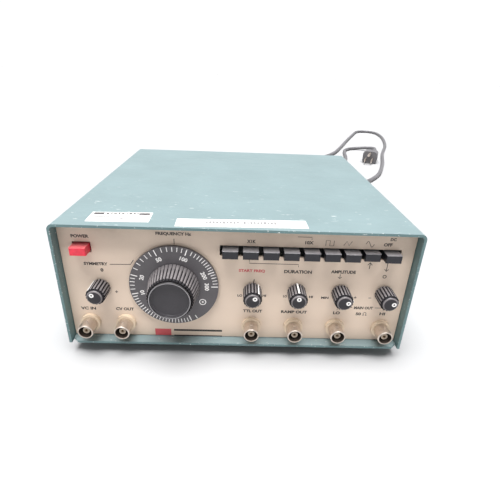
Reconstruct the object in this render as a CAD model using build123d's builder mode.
"""A bench function generator: a wrapped steel case, its control panel and its works, with a mains cord.

+X is to the right as the panel is read, +Y goes to the back and +Z up. The origin is under the middle
of the instrument, on the surface that its feet stand on. A depth is measured back from the front rim
of the case, and a height up from the underside of the case.
"""

import os
from math import pi, radians, tan

from build123d import *

os.makedirs("parts", exist_ok=True)

# Case
CASE_WIDTH = 216.0
CASE_HEIGHT = 82.5
CASE_DEPTH = 208.6
SHEET = 1.6
COVER_BEND = 3.6
FOOT_HEIGHT = 8.0
KNOB_REACH = 12.4  # the dial ring stands this far in front of the rim
REAR_REACH = 4.0  # the fuse cap stands this far behind the rear rim
FRONT_RIM = KNOB_REACH - (CASE_DEPTH + KNOB_REACH + REAR_REACH) / 2

# Panels: depths of their faces
PANEL_FACE = 7.0
PANEL_BACK = PANEL_FACE + SHEET
SUBPANEL_FACE = PANEL_BACK + 4.0
SUBPANEL_BACK = SUBPANEL_FACE + SHEET
REAR_FACE = CASE_DEPTH - 10.0
REAR_INSIDE = REAR_FACE - SHEET
PANEL_HALF = CASE_WIDTH / 2 - SHEET - 0.4
PANEL_LOW = 2.0
PANEL_HIGH = CASE_HEIGHT - SHEET - 0.4

# Tray and rails
FLANGE_HEIGHT = 14.0
TRAY_INSIDE = PANEL_HALF - SHEET
RAIL_INSIDE = TRAY_INSIDE - SHEET
RAIL_HEIGHT = 26.0
RAIL_SHELF = 8.0
TRAY_CORNER_CUT = 3.5

# Controls: places across the panel, and heights
KNOB_X = (-84.6, 9.0, 36.75, 64.5, 92.2)
KNOB_HEIGHT = 39.0
KNOB_RADIUS = 5.8
KNOB_FRONT = -7.0
JACK_X = (-94.6, -72.0, 9.2, 36.9, 64.4, 94.8)
JACK_HEIGHT = 12.0
DIAL_X = -39.4
DIAL_HEIGHT = 41.4
BUTTON_COUNT = 9
BUTTON_PITCH = 12.1
BUTTON_FIRST_X = -5.05
BUTTON_X = [BUTTON_FIRST_X + BUTTON_PITCH * i for i in range(BUTTON_COUNT)]
BUTTON_HEIGHT = 65.75
BUTTON_WIDTH = 9.3
BUTTON_TALL = 5.1
BUTTON_FRONT = 0.3
BUTTON_BACK = 9.5
PLUNGER_END = 45.0
LATCHED_IN = 1.7  # the chosen waveform's button is held this far in
POWER_X = -93.0
POWER_FRONT = -0.4
SLOT_TALL = 6.8
BANK_MIDDLE = 43.25
BANK_SLOT = 109.5
POWER_SLOT = 10.8

# Shafts run in their bushes with this much room all round
SHAFT_ROOM = 0.05
SHAFT_RADIUS = 3.0
DIAL_SHAFT_RADIUS = 3.175

# Rear fittings: (x, height)
RELIEF_AT = (72.0, 22.0)
FUSE_AT = (88.0, 52.0)
SELECTOR_AT = (-75.0, 62.0)
RELIEF_REACH = 33.5

# Mains cord
CORD_DIAMETER = 6.6
CORD_FLOOR = CORD_DIAMETER / 2
PLUG_AXIS = 12.0

FOOT_AT = [(x, d) for x in (-86.0, 86.0) for d in (24.0, 186.0)]
BOARD_HOLES = [(x, d) for x in (-86.0, 86.0) for d in (42.0, 144.0)]
BOARD_BOTTOM = 10.0
BOARD_TOP = BOARD_BOTTOM + SHEET
COVER_SCREW_DEPTHS = (32.0, 178.0)
COVER_SCREW_HEIGHT = 8.0


def back(depth):
    """The y of a depth behind the front rim."""
    return FRONT_RIM + depth


def up(height):
    """The z of a height above the underside of the case."""
    return FOOT_HEIGHT + height


def upright(depth, x=0.0, height=-FOOT_HEIGHT):
    """A plane that faces the front at a depth, centred at x and height."""
    return Plane(origin=(x, back(depth), up(height)), x_dir=(1, 0, 0), z_dir=(0, -1, 0))


def rods(centres, radius, front, rear, mode=Mode.ADD):
    """Cylinders along Y from one depth to another, on centres of (x, height)."""
    with BuildSketch(upright(rear)) as discs:
        with Locations(*[(x, up(height)) for x, height in centres]):
            Circle(radius)
    extrude(discs.sketch, amount=rear - front, mode=mode)


def bars(centres, width, tall, front, rear, mode=Mode.ADD):
    """Square bars along Y from one depth to another, on centres of (x, height)."""
    with BuildSketch(upright(rear)) as ends:
        with Locations(*[(x, up(height)) for x, height in centres]):
            Rectangle(width, tall)
    extrude(ends.sketch, amount=rear - front, mode=mode)


def nuts(centres, radius, bore, front, rear):
    """Hexagonal nuts on centres of (x, height)."""
    with BuildSketch(upright(rear)) as hexes:
        with Locations(*[(x, up(height)) for x, height in centres]):
            RegularPolygon(radius, 6)
            Circle(bore, mode=Mode.SUBTRACT)
    extrude(hexes.sketch, amount=rear - front)


def posts(centres, radius, low, high, mode=Mode.ADD):
    """Cylinders along Z from one height to another, on centres of (x, depth)."""
    with BuildSketch(Plane.XY.offset(up(low))) as discs:
        with Locations(*[(x, back(depth)) for x, depth in centres]):
            Circle(radius)
    extrude(discs.sketch, amount=high - low, mode=mode)


def slabs(centres, width, length, low, high, mode=Mode.ADD):
    """Blocks from one height to another, on centres of (x, depth)."""
    with BuildSketch(Plane.XY.offset(up(low))) as outlines:
        with Locations(*[(x, back(depth)) for x, depth in centres]):
            Rectangle(width, length)
    extrude(outlines.sketch, amount=high - low, mode=mode)


def write(piece, name):
    """Labels a finished piece and writes its file."""
    piece.part.label = name
    export_step(piece.part, f"parts/{name}.step")


def row(places, height):
    """Centres of a row of controls that share a height."""
    return [(x, height) for x in places]


# ---------------------------------------------------------------- case and panels

SIDE_SCREWS = [(back(depth), up(COVER_SCREW_HEIGHT)) for depth in COVER_SCREW_DEPTHS]

with BuildPart() as cover:
    with BuildSketch(upright(0)) as outside:
        with Locations((0, up(0))):
            Rectangle(CASE_WIDTH, CASE_HEIGHT, align=(Align.CENTER, Align.MIN))
        fillet(outside.vertices().group_by(Axis.Y)[-1], radius=COVER_BEND)
    extrude(amount=-CASE_DEPTH)
    with BuildSketch(upright(0)) as inside:
        with Locations((0, up(0))):
            Rectangle(
                CASE_WIDTH - 2 * SHEET, CASE_HEIGHT - SHEET, align=(Align.CENTER, Align.MIN)
            )
        fillet(inside.vertices().group_by(Axis.Y)[-1], radius=COVER_BEND - SHEET)
    extrude(amount=-CASE_DEPTH, mode=Mode.SUBTRACT)
    with BuildSketch(Plane.YZ) as cover_holes:
        with Locations(*SIDE_SCREWS):
            Circle(2.1)
    extrude(amount=CASE_WIDTH, both=True, mode=Mode.SUBTRACT)
write(cover, "cover")

with BuildPart() as bottom_tray:
    slabs([(0, CASE_DEPTH / 2)], 2 * PANEL_HALF, CASE_DEPTH, 0, SHEET)
    front_corners = bottom_tray.edges().filter_by(Axis.Z).group_by(Axis.Y)[0]
    chamfer(front_corners, length=TRAY_CORNER_CUT)
    with BuildSketch(upright(REAR_INSIDE - 1)) as flanges:
        with Locations(*[(side * (PANEL_HALF - SHEET / 2), up(FLANGE_HEIGHT / 2)) for side in (-1, 1)]):
            Rectangle(SHEET, FLANGE_HEIGHT)
    extrude(amount=REAR_INSIDE - 2 - PANEL_BACK)
    with BuildSketch(Plane.YZ) as tray_holes:
        with Locations(*SIDE_SCREWS):
            Circle(2.1)
    extrude(amount=CASE_WIDTH, both=True, mode=Mode.SUBTRACT)
    posts(FOOT_AT, 1.7, 0, SHEET, Mode.SUBTRACT)
    with BuildSketch(Plane.XY.offset(up(0))) as floor_vents:
        with Locations((0, back(CASE_DEPTH / 2))):
            with GridLocations(10, 70, 8, 2):
                SlotOverall(24, 3.2, rotation=90)
    extrude(amount=SHEET, mode=Mode.SUBTRACT)
write(bottom_tray, "bottom_tray")

with BuildPart() as front_panel:
    bars(
        [(0, (PANEL_LOW + PANEL_HIGH) / 2)],
        2 * PANEL_HALF,
        PANEL_HIGH - PANEL_LOW,
        PANEL_FACE,
        PANEL_BACK,
    )
    fillet(front_panel.edges().filter_by(Axis.Y).group_by(Axis.Z)[-1], radius=COVER_BEND - SHEET)
    bars(
        [(BANK_MIDDLE, BUTTON_HEIGHT)],
        BANK_SLOT,
        SLOT_TALL,
        PANEL_FACE,
        PANEL_BACK,
        Mode.SUBTRACT,
    )
    bars(
        [(POWER_X, BUTTON_HEIGHT)],
        POWER_SLOT,
        SLOT_TALL,
        PANEL_FACE,
        PANEL_BACK,
        Mode.SUBTRACT,
    )
    rods(row(KNOB_X, KNOB_HEIGHT), 3.5, PANEL_FACE, PANEL_BACK, Mode.SUBTRACT)
    rods([(DIAL_X, DIAL_HEIGHT)], 4.0, PANEL_FACE, PANEL_BACK, Mode.SUBTRACT)
    rods(row(JACK_X, JACK_HEIGHT), 4.8, PANEL_FACE, PANEL_BACK, Mode.SUBTRACT)
write(front_panel, "front_panel")

with BuildPart() as rear_panel:
    bars(
        [(0, (PANEL_LOW + PANEL_HIGH) / 2)],
        2 * PANEL_HALF,
        PANEL_HIGH - PANEL_LOW,
        REAR_INSIDE,
        REAR_FACE,
    )
    fillet(rear_panel.edges().filter_by(Axis.Y).group_by(Axis.Z)[-1], radius=COVER_BEND - SHEET)
    rods([RELIEF_AT], 6.2, REAR_INSIDE, REAR_FACE, Mode.SUBTRACT)
    rods([FUSE_AT], 6.0, REAR_INSIDE, REAR_FACE, Mode.SUBTRACT)
    bars([SELECTOR_AT], 22, 11, REAR_INSIDE, REAR_FACE, Mode.SUBTRACT)
    with BuildSketch(upright(REAR_INSIDE)) as rear_vents:
        with Locations((8, up(62))):
            with GridLocations(8, 1, 12, 1):
                SlotOverall(22, 3.2, rotation=90)
    extrude(rear_vents.sketch, amount=-SHEET, mode=Mode.SUBTRACT)
write(rear_panel, "rear_panel")

with BuildPart() as side_rails:
    for side in (-1, 1):
        web = (side * (RAIL_INSIDE + SHEET / 2), (SHEET + RAIL_HEIGHT) / 2)
        shelf = (side * (RAIL_INSIDE - RAIL_SHELF / 2), RAIL_HEIGHT - SHEET / 2)
        bars([web], SHEET, RAIL_HEIGHT - SHEET, PANEL_BACK, REAR_INSIDE)
        bars([shelf], RAIL_SHELF, SHEET, PANEL_BACK, REAR_INSIDE)
    with BuildSketch(Plane.YZ) as rail_holes:
        with Locations(*SIDE_SCREWS):
            Circle(2.1)
    extrude(amount=CASE_WIDTH, both=True, mode=Mode.SUBTRACT)
write(side_rails, "side_rails")

with BuildPart() as control_subpanel:
    SUBPANEL_TOP = 79.0
    bars(
        [(0, (RAIL_HEIGHT + SUBPANEL_TOP) / 2)],
        2 * RAIL_INSIDE,
        SUBPANEL_TOP - RAIL_HEIGHT,
        SUBPANEL_FACE,
        SUBPANEL_BACK,
    )
    bars(
        [(BANK_MIDDLE, BUTTON_HEIGHT)],
        BANK_SLOT,
        SLOT_TALL,
        SUBPANEL_FACE,
        SUBPANEL_BACK,
        Mode.SUBTRACT,
    )
    bars(
        [(POWER_X, BUTTON_HEIGHT)],
        POWER_SLOT,
        SLOT_TALL,
        SUBPANEL_FACE,
        SUBPANEL_BACK,
        Mode.SUBTRACT,
    )
    rods(row(KNOB_X, KNOB_HEIGHT), 4.5, SUBPANEL_FACE, SUBPANEL_BACK, Mode.SUBTRACT)
    rods([(DIAL_X, DIAL_HEIGHT)], 4.8, SUBPANEL_FACE, SUBPANEL_BACK, Mode.SUBTRACT)
write(control_subpanel, "control_subpanel")

with BuildPart() as feet:
    with BuildSketch(Plane.XY) as foot_soles:
        with Locations(*[(x, back(depth)) for x, depth in FOOT_AT]):
            Circle(9.0)
    extrude(amount=FOOT_HEIGHT)
    chamfer(feet.edges().group_by(Axis.Z)[0], length=1.2)
    posts(FOOT_AT, 4.2, -FOOT_HEIGHT, -4.0, Mode.SUBTRACT)
    posts(FOOT_AT, 1.6, -4.0, 0, Mode.SUBTRACT)
write(feet, "feet")

with BuildPart() as foot_screws:
    posts(FOOT_AT, 3.2, -6.2, -4.0)
    posts(FOOT_AT, 1.5, -4.0, 5.0)
    bars([(0, -6.2)], CASE_WIDTH, 1.2, 14, 34, Mode.SUBTRACT)
write(foot_screws, "foot_screws")

with BuildPart() as cover_screws:
    with BuildSketch(Plane.YZ.offset(RAIL_INSIDE - 3)) as right_shanks:
        with Locations(*SIDE_SCREWS):
            Circle(1.95)
    extrude(amount=CASE_WIDTH / 2 - RAIL_INSIDE + 3)
    with BuildSketch(Plane.YZ.offset(CASE_WIDTH / 2)) as right_heads:
        with Locations(*SIDE_SCREWS):
            Circle(3.8)
    extrude(amount=2.0)
    fillet(cover_screws.edges().group_by(Axis.X)[-1], radius=1.0)
    with BuildSketch(Plane.YZ.offset(CASE_WIDTH / 2 + 0.7)) as cross_slots:
        with Locations(*SIDE_SCREWS):
            Rectangle(4.4, 0.9)
            Rectangle(0.9, 4.4)
    extrude(amount=2.0, mode=Mode.SUBTRACT)
    mirror(about=Plane.YZ)
write(cover_screws, "cover_screws")

# ---------------------------------------------------------------- works inside the case

with BuildPart() as main_board:
    slabs([(0, 93)], 184, 114, BOARD_BOTTOM, BOARD_TOP)
    posts(BOARD_HOLES, 1.6, BOARD_BOTTOM, BOARD_TOP, Mode.SUBTRACT)
write(main_board, "main_board")

with BuildPart() as board_standoffs:
    posts(BOARD_HOLES, 3.2, SHEET, BOARD_BOTTOM)
    posts(BOARD_HOLES, 1.5, BOARD_BOTTOM, BOARD_TOP)
    posts(BOARD_HOLES, 2.8, BOARD_TOP, BOARD_TOP + 1.8)
write(board_standoffs, "board_standoffs")

with BuildPart() as integrated_circuits:
    with BuildSketch(Plane.XY.offset(up(BOARD_TOP))) as chip_outlines:
        with Locations((14, back(70))):
            with GridLocations(30, 16, 5, 3):
                Rectangle(19.4, 6.6)
    extrude(amount=4.0)
    chamfer(integrated_circuits.edges().group_by(Axis.Z)[-1], length=0.6)
write(integrated_circuits, "integrated_circuits")

with BuildPart() as board_resistors:
    with Locations((0, back(127), up(BOARD_TOP + 1.3))):
        with GridLocations(13, 4.5, 6, 6):
            Cylinder(1.3, 7, rotation=(0, 90, 0))
write(board_resistors, "board_resistors")

with BuildPart() as filter_capacitors:
    CAPACITOR_AT = [(-78, 126), (-78, 102), (-78, 78)]
    posts(CAPACITOR_AT, 10.0, BOARD_TOP, BOARD_TOP + 34)
    fillet(filter_capacitors.edges().group_by(Axis.Z)[-1], radius=1.2)
write(filter_capacitors, "filter_capacitors")

TRANSFORMER_X = -60.0
TRANSFORMER_DEPTH = 172.0
LIMB = 14.0
WINDOW = 9.0
WINDOW_LOW = 11.0
WINDOW_HIGH = 39.0
STACK = 20.0

with BuildPart() as transformer_core:
    slabs([(TRANSFORMER_X, TRANSFORMER_DEPTH)], 56, STACK, SHEET, 48.6)
    for side in (-1, 1):
        slabs(
            [(TRANSFORMER_X + side * (LIMB + WINDOW) / 2, TRANSFORMER_DEPTH)],
            WINDOW,
            STACK,
            WINDOW_LOW,
            WINDOW_HIGH,
            Mode.SUBTRACT,
        )
write(transformer_core, "transformer_core")

with BuildPart() as transformer_winding:
    slabs([(TRANSFORMER_X, TRANSFORMER_DEPTH)], LIMB + 2 * WINDOW, 34, WINDOW_LOW, WINDOW_HIGH)
    fillet(transformer_winding.edges().filter_by(Axis.Z), radius=3)
    slabs(
        [(TRANSFORMER_X, TRANSFORMER_DEPTH)],
        LIMB,
        STACK,
        WINDOW_LOW,
        WINDOW_HIGH,
        Mode.SUBTRACT,
    )
write(transformer_winding, "transformer_winding")

with BuildPart() as heat_sink:
    bars([(22, 26)], 56, 40, REAR_INSIDE - 3, REAR_INSIDE)
    bars([(-3.5 + 8.5 * i, 26) for i in range(7)], 1.8, 40, REAR_INSIDE - 17, REAR_INSIDE - 3)
write(heat_sink, "heat_sink")

with BuildPart() as switch_bank:
    bars([(BANK_MIDDLE, BUTTON_HEIGHT)], BANK_SLOT + 3, 12, SUBPANEL_BACK, SUBPANEL_BACK + 1)
    bars(row(BUTTON_X, BUTTON_HEIGHT), 9.6, 9.0, SUBPANEL_BACK + 1, 44)
    bars(row(BUTTON_X, BUTTON_HEIGHT), 3.4, 3.4, SUBPANEL_BACK, 44, Mode.SUBTRACT)
write(switch_bank, "switch_bank")

with BuildPart() as power_switch:
    bars([(POWER_X, BUTTON_HEIGHT)], 14, 12, SUBPANEL_BACK, 48)
    bars([(POWER_X, BUTTON_HEIGHT)], 3.4, 3.4, SUBPANEL_BACK, 48, Mode.SUBTRACT)
write(power_switch, "power_switch")

with BuildPart() as level_controls:
    rods(row(KNOB_X, KNOB_HEIGHT), 8.5, SUBPANEL_BACK, SUBPANEL_BACK + 10)
    rods(row(KNOB_X, KNOB_HEIGHT), 4.5, PANEL_BACK + 1, SUBPANEL_BACK)
    rods(
        row(KNOB_X, KNOB_HEIGHT),
        SHAFT_RADIUS + SHAFT_ROOM,
        PANEL_BACK + 1,
        SUBPANEL_BACK + 7,
        Mode.SUBTRACT,
    )
write(level_controls, "level_controls")

with BuildPart() as dial_control:
    rods([(DIAL_X, DIAL_HEIGHT)], 12.0, SUBPANEL_BACK, SUBPANEL_BACK + 20)
    rods([(DIAL_X, DIAL_HEIGHT)], 4.8, PANEL_BACK + 1, SUBPANEL_BACK)
    rods(
        [(DIAL_X, DIAL_HEIGHT)],
        DIAL_SHAFT_RADIUS + SHAFT_ROOM,
        PANEL_BACK + 1,
        SUBPANEL_BACK + 15,
        Mode.SUBTRACT,
    )
write(dial_control, "dial_control")

with BuildPart() as control_nuts:
    nuts(row(KNOB_X, KNOB_HEIGHT), 6.4, 4.5, SUBPANEL_FACE - 2, SUBPANEL_FACE)
    nuts([(DIAL_X, DIAL_HEIGHT)], 7.0, 4.8, SUBPANEL_FACE - 2, SUBPANEL_FACE)
write(control_nuts, "control_nuts")

# ---------------------------------------------------------------- coaxial jacks

JACKS = row(JACK_X, JACK_HEIGHT)
JACK_MOUTH = -4.8
JACK_SHOULDER = PANEL_FACE - 2.4
JACK_REAR = 19.0
BAYONET_DEPTH = JACK_MOUTH + 5.0
INSULATOR_NOSE = JACK_MOUTH + 2.0

with BuildPart() as jack_shells:
    rods(JACKS, 4.8, JACK_MOUTH, JACK_SHOULDER)
    chamfer(jack_shells.edges().group_by(Axis.Y)[0], length=0.35)
    rods(JACKS, 4.7, JACK_SHOULDER, JACK_REAR)
    with BuildSketch(Plane.XY.offset(up(JACK_HEIGHT - 5.5))) as lugs:
        with Locations(*[(x, back(BAYONET_DEPTH)) for x in JACK_X]):
            Circle(0.95)
    extrude(amount=11.0)
    rods(JACKS, 4.05, JACK_MOUTH, 5.0, Mode.SUBTRACT)
    rods(JACKS, 3.4, 5.0, JACK_REAR, Mode.SUBTRACT)
write(jack_shells, "jack_shells")

with BuildPart() as jack_washers:
    rods(JACKS, 6.2, JACK_SHOULDER, PANEL_FACE)
    rods(JACKS, 4.7, JACK_SHOULDER, PANEL_FACE, Mode.SUBTRACT)
write(jack_washers, "jack_washers")

with BuildPart() as jack_insulators:
    rods(JACKS, 2.1, INSULATOR_NOSE, 3.0)
    rods(JACKS, 4.05, 3.0, 5.0)
    rods(JACKS, 3.4, 5.0, JACK_REAR + 1)
    rods(JACKS, 1.1, INSULATOR_NOSE, JACK_REAR + 1, Mode.SUBTRACT)
write(jack_insulators, "jack_insulators")

with BuildPart() as jack_contacts:
    rods(JACKS, 1.1, INSULATOR_NOSE + 0.4, JACK_REAR + 5)
    rods(JACKS, 0.65, INSULATOR_NOSE + 0.4, 2.0, Mode.SUBTRACT)
write(jack_contacts, "jack_contacts")

with BuildPart() as jack_nuts:
    nuts(JACKS, 7.0, 4.7, PANEL_BACK, PANEL_BACK + 2.4)
write(jack_nuts, "jack_nuts")

# ---------------------------------------------------------------- frequency dial

DIAL_RADIUS = 27.4
DIAL_FACE = 4.2
DIAL_SHEET = 2.0
KNOB_BACK_RADIUS = 15.6
KNOB_FRONT_RADIUS = 13.5
RING_OUTER = 12.2
RING_INNER = 11.7
RING_SEAT = -11.0
DIAL_KNOB_FRONT = -11.6
DIAL_KNOB_FACE = -11.3
DIAL_AT = [(DIAL_X, DIAL_HEIGHT)]

with BuildPart() as dial_disc:
    rods(DIAL_AT, DIAL_RADIUS, DIAL_FACE, DIAL_FACE + DIAL_SHEET)
    rods(DIAL_AT, DIAL_SHAFT_RADIUS, DIAL_FACE, DIAL_FACE + DIAL_SHEET, Mode.SUBTRACT)
write(dial_disc, "dial_disc")

with BuildPart() as dial_knob:
    with BuildSketch(Plane(origin=(DIAL_X, FRONT_RIM, up(DIAL_HEIGHT)), x_dir=(1, 0, 0), z_dir=(0, 0, 1))):
        with BuildLine():
            Polyline(
                (0, DIAL_FACE),
                (KNOB_BACK_RADIUS, DIAL_FACE),
                (KNOB_BACK_RADIUS, 1.2),
                (KNOB_FRONT_RADIUS, -10.6),
                (RING_OUTER + 0.3, DIAL_KNOB_FRONT),
                (RING_OUTER, DIAL_KNOB_FRONT),
                (RING_OUTER, RING_SEAT),
                (RING_INNER, RING_SEAT),
                (RING_INNER, DIAL_KNOB_FACE),
                (0, DIAL_KNOB_FACE),
                close=True,
            )
        make_face()
    revolve(axis=Axis((DIAL_X, 0, up(DIAL_HEIGHT)), (0, 1, 0)))
    with BuildSketch(upright(DIAL_FACE, DIAL_X, DIAL_HEIGHT)) as dial_flutes:
        with PolarLocations(KNOB_BACK_RADIUS, 48):
            Circle(0.65)
    extrude(dial_flutes.sketch, amount=DIAL_FACE + 10, mode=Mode.SUBTRACT)
    rods(DIAL_AT, DIAL_SHAFT_RADIUS, -6, DIAL_FACE, Mode.SUBTRACT)
write(dial_knob, "dial_knob")

with BuildPart() as dial_ring:
    rods(DIAL_AT, RING_OUTER, -KNOB_REACH, RING_SEAT)
    rods(DIAL_AT, RING_INNER, -KNOB_REACH, RING_SEAT, Mode.SUBTRACT)
write(dial_ring, "dial_ring")

with BuildPart() as dial_shaft:
    rods(DIAL_AT, DIAL_SHAFT_RADIUS, -6, SUBPANEL_BACK + 14)
write(dial_shaft, "dial_shaft")

# ---------------------------------------------------------------- level knobs and their shafts

KNOB_BACK = PANEL_FACE - 0.7
KNOB_FLUTES = 18
KNOB_CAP_BASE = KNOB_FRONT + 1.2
KNOB_CAP_RADIUS = 4.7
KNOB_NAMES = ("symmetry", "start", "duration", "amplitude", "offset")

for knob_name, knob_x in zip(KNOB_NAMES, KNOB_X):
    with BuildPart() as knob:
        with BuildSketch(upright(KNOB_BACK, knob_x, KNOB_HEIGHT)):
            Circle(KNOB_RADIUS)
            with PolarLocations(KNOB_RADIUS + 0.1, KNOB_FLUTES):
                Circle(0.6, mode=Mode.SUBTRACT)
        extrude(amount=KNOB_BACK - KNOB_CAP_BASE)
        with BuildSketch(upright(KNOB_CAP_BASE, knob_x, KNOB_HEIGHT)):
            Circle(KNOB_CAP_RADIUS)
        extrude(amount=KNOB_CAP_BASE - KNOB_FRONT, taper=36)
        rods([(knob_x, KNOB_HEIGHT)], SHAFT_RADIUS, -3, KNOB_BACK, Mode.SUBTRACT)
    write(knob, f"{knob_name}_knob")

    with BuildPart() as knob_shaft:
        rods([(knob_x, KNOB_HEIGHT)], SHAFT_RADIUS, -3, SUBPANEL_BACK + 6)
    write(knob_shaft, f"{knob_name}_shaft")

# ---------------------------------------------------------------- push-buttons

BUTTON_NAMES = (
    "range_1",
    "range_2",
    "range_3",
    "range_4",
    "range_5",
    "square_wave",
    "triangle_wave",
    "sine_wave",
    "attenuator",
)


def push_button(x, front, cap_back, plunger_end):
    """A button cap on its plunger, as one moulding."""
    with BuildPart() as button:
        bars([(x, BUTTON_HEIGHT)], BUTTON_WIDTH, BUTTON_TALL, front, cap_back)
        fillet(button.edges().group_by(Axis.Y)[0], radius=0.45)
        bars([(x, BUTTON_HEIGHT)], 2.8, 2.8, cap_back, plunger_end)
    return button


for button_name, button_x in zip(BUTTON_NAMES, BUTTON_X):
    depth_in = LATCHED_IN if button_name == "sine_wave" else 0.0
    button = push_button(
        button_x, BUTTON_FRONT + depth_in, BUTTON_BACK + depth_in, PLUNGER_END + depth_in
    )
    write(button, f"{button_name}_button")
write(push_button(POWER_X, POWER_FRONT, BUTTON_BACK, PLUNGER_END + 4), "power_button")

# ---------------------------------------------------------------- rear fittings

with BuildPart() as fuse_holder:
    rods([FUSE_AT], 8.0, REAR_FACE, REAR_FACE + 2.5)
    rods([FUSE_AT], 6.0, REAR_INSIDE - 28, REAR_FACE)
    rods([FUSE_AT], 3.6, REAR_INSIDE - 22, REAR_FACE + 2.5, Mode.SUBTRACT)
write(fuse_holder, "fuse_holder")

FUSE_CAP_FRONT = REAR_FACE + 2.8
FUSE_CAP_END = CASE_DEPTH + REAR_REACH

with BuildPart() as fuse_cap:
    rods([FUSE_AT], 7.2, FUSE_CAP_FRONT, FUSE_CAP_END)
    fillet(fuse_cap.edges().group_by(Axis.Y)[-1], radius=0.8)
    bars([FUSE_AT], 11, 1.4, FUSE_CAP_END - 1.2, FUSE_CAP_END, Mode.SUBTRACT)
    rods([FUSE_AT], 3.3, REAR_INSIDE - 20, FUSE_CAP_FRONT)
write(fuse_cap, "fuse_cap")

SELECTOR_FACE = REAR_FACE + 1.6
SLIDER_TRAVEL = 5.0
SLIDER_WIDTH = 6.0
SLIDER_X = SELECTOR_AT[0] - SLIDER_TRAVEL / 2

with BuildPart() as voltage_selector:
    bars([SELECTOR_AT], 32, 16, REAR_FACE, SELECTOR_FACE)
    bars([SELECTOR_AT], 22, 11, REAR_INSIDE - 9, REAR_FACE)
    bars([SELECTOR_AT], SLIDER_WIDTH + SLIDER_TRAVEL + 1, 6.4, SELECTOR_FACE - 4, SELECTOR_FACE, Mode.SUBTRACT)
write(voltage_selector, "voltage_selector")

with BuildPart() as selector_slider:
    bars([(SLIDER_X, SELECTOR_AT[1])], SLIDER_WIDTH, 5.6, SELECTOR_FACE - 3.6, SELECTOR_FACE + 0.8)
write(selector_slider, "selector_slider")

with BuildPart() as paper_labels:
    with BuildSketch(Plane.XY.offset(up(CASE_HEIGHT))) as label_outlines:
        with Locations((-70.7, back(14.0))):
            Rectangle(36.0, 15.5, rotation=2.0)
        with Locations((1.4, back(9.0))):
            Rectangle(76.8, 12.0, rotation=1.6)
    extrude(amount=0.15)
write(paper_labels, "paper_labels")

# ---------------------------------------------------------------- mains cord, its relief and its plug

RELIEF_TIP = REAR_FACE + RELIEF_REACH

with BuildPart() as strain_relief:
    rods([RELIEF_AT], 6.2, REAR_INSIDE - 6, REAR_FACE)
    rods([RELIEF_AT], 8.5, REAR_FACE, REAR_FACE + 3)
    with BuildSketch(upright(REAR_FACE + 3, *RELIEF_AT)):
        Circle(6.6)
    with BuildSketch(upright(RELIEF_TIP, *RELIEF_AT)):
        Circle(4.6)
    loft()
write(strain_relief, "strain_relief")

# Each point of the cord's route from the relief to the plug, as it lies on the bench behind the case.
CORD_ROUTE = [
    (RELIEF_AT[0], back(RELIEF_TIP), up(RELIEF_AT[1])),
    (RELIEF_AT[0], back(RELIEF_TIP) + 29, up(RELIEF_AT[1])),
    (78, 198, 15),
    (96, 236, CORD_FLOOR),
    (130, 270, CORD_FLOOR),
    (172, 296, CORD_FLOOR),
    (214, 330, CORD_FLOOR),
    (247, 378, CORD_FLOOR),
    (270, 434, CORD_FLOOR),
    (291, 492, CORD_FLOOR),
    (307, 547, CORD_FLOOR),
    (328, 604, CORD_FLOOR),
    (352, 660, CORD_FLOOR),
    (369, 718, CORD_FLOOR),
    (383, 774, CORD_FLOOR),
    (391, 826, CORD_FLOOR),
    (391, 870, CORD_FLOOR),
    (374, 888, CORD_FLOOR),
    (349, 888, CORD_FLOOR),
    (332, 870, CORD_FLOOR),
    (315, 828, CORD_FLOOR),
    (293, 776, CORD_FLOOR),
    (270, 720, CORD_FLOOR),
    (248, 663, CORD_FLOOR),
    (225, 606, CORD_FLOOR),
    (202, 552, CORD_FLOOR),
    (170, 508, CORD_FLOOR),
    (133, 474, CORD_FLOOR),
    (96, 446, CORD_FLOOR),
    (88, 405, CORD_FLOOR),
    (117, 379, CORD_FLOOR),
    (155, 387, CORD_FLOOR),
    (188, 422, CORD_FLOOR),
    (208, 470, CORD_FLOOR),
    (222, 524, CORD_FLOOR),
    (228, 566, CORD_FLOOR),
    (237, 600, CORD_FLOOR),
    (264, 622, CORD_FLOOR),
    (295, 611, CORD_FLOOR + 4),
    (303, 579, PLUG_AXIS),
    (288, 546, PLUG_AXIS),
]


def bend_radii(route):
    """The largest tangent arc at each corner: 0.45 of the shorter run over the tangent of half the turn."""
    points = [Vector(*point) for point in route]
    radii = []
    for before, corner, after in zip(points, points[1:], points[2:]):
        arriving = corner - before
        leaving = after - corner
        half_turn = radians(arriving.get_angle(leaving) / 2)
        radii.append(0.45 * min(arriving.length, leaving.length) / tan(half_turn))
    return radii


CORD_RADII = bend_radii(CORD_ROUTE)
print("cord bend radii, mm:", [round(radius) for radius in CORD_RADII])

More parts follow.
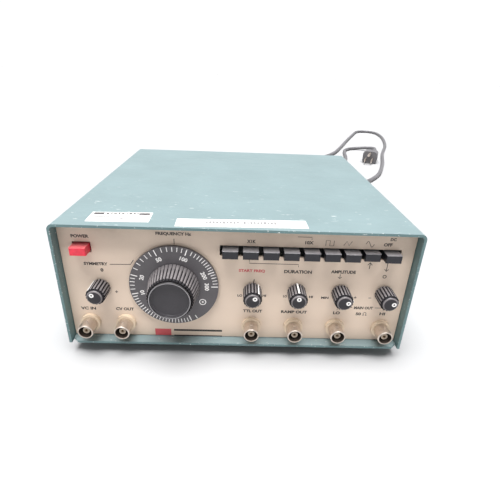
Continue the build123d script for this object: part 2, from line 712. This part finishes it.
with BuildPart() as mains_cord:
    with BuildLine() as cord_line:
        cord_path = FilletPolyline(*CORD_ROUTE, radius=CORD_RADII)
    with BuildSketch(Plane(origin=CORD_ROUTE[0], x_dir=(1, 0, 0), z_dir=(0, 1, 0))):
        Circle(CORD_DIAMETER / 2)
    sweep(path=cord_path)
write(mains_cord, "mains_cord")

cord_length = cord_path.length
cord_section = pi * (CORD_DIAMETER / 2) ** 2
print("cord length, mm:", round(cord_length))
print("cord volume over section times length:", round(mains_cord.part.volume / cord_section / cord_length, 4))

PLUG_HEADING = (Vector(*CORD_ROUTE[-1]) - Vector(*CORD_ROUTE[-2])).normalized()
PLUG_SIDEWAYS = PLUG_HEADING.cross(Vector(0, 0, 1))
TAIL_LENGTH = 30.0
BODY_LENGTH = 42.0
BODY_WIDTH = 27.0
BODY_TALL = 23.6


def plug_plane(along):
    """A plane across the plug, this far along it from the end of the cord."""
    centre = Vector(*CORD_ROUTE[-1]) + PLUG_HEADING * along
    return Plane(origin=centre, x_dir=PLUG_SIDEWAYS, z_dir=PLUG_HEADING)


with BuildPart() as plug_body:
    with BuildSketch(plug_plane(0)):
        Circle(4.6)
    with BuildSketch(plug_plane(TAIL_LENGTH)):
        Circle(6.6)
    loft()
    with BuildSketch(plug_plane(TAIL_LENGTH)):
        RectangleRounded(18, 16, 6)
    with BuildSketch(plug_plane(TAIL_LENGTH + 18)):
        RectangleRounded(BODY_WIDTH, BODY_TALL, 6)
    loft()
    with BuildSketch(plug_plane(TAIL_LENGTH + 18)):
        RectangleRounded(BODY_WIDTH, BODY_TALL, 6)
    extrude(amount=BODY_LENGTH - 18)
write(plug_body, "plug_body")

with BuildPart() as plug_blades:
    with BuildSketch(plug_plane(TAIL_LENGTH + BODY_LENGTH)):
        with Locations((-6.35, 4), (6.35, 4)):
            Rectangle(1.5, 6.3)
    extrude(amount=17)
    with BuildSketch(plug_plane(TAIL_LENGTH + BODY_LENGTH)):
        with Locations((0, -7.4)):
            Circle(2.4)
    extrude(amount=19)
write(plug_blades, "plug_blades")
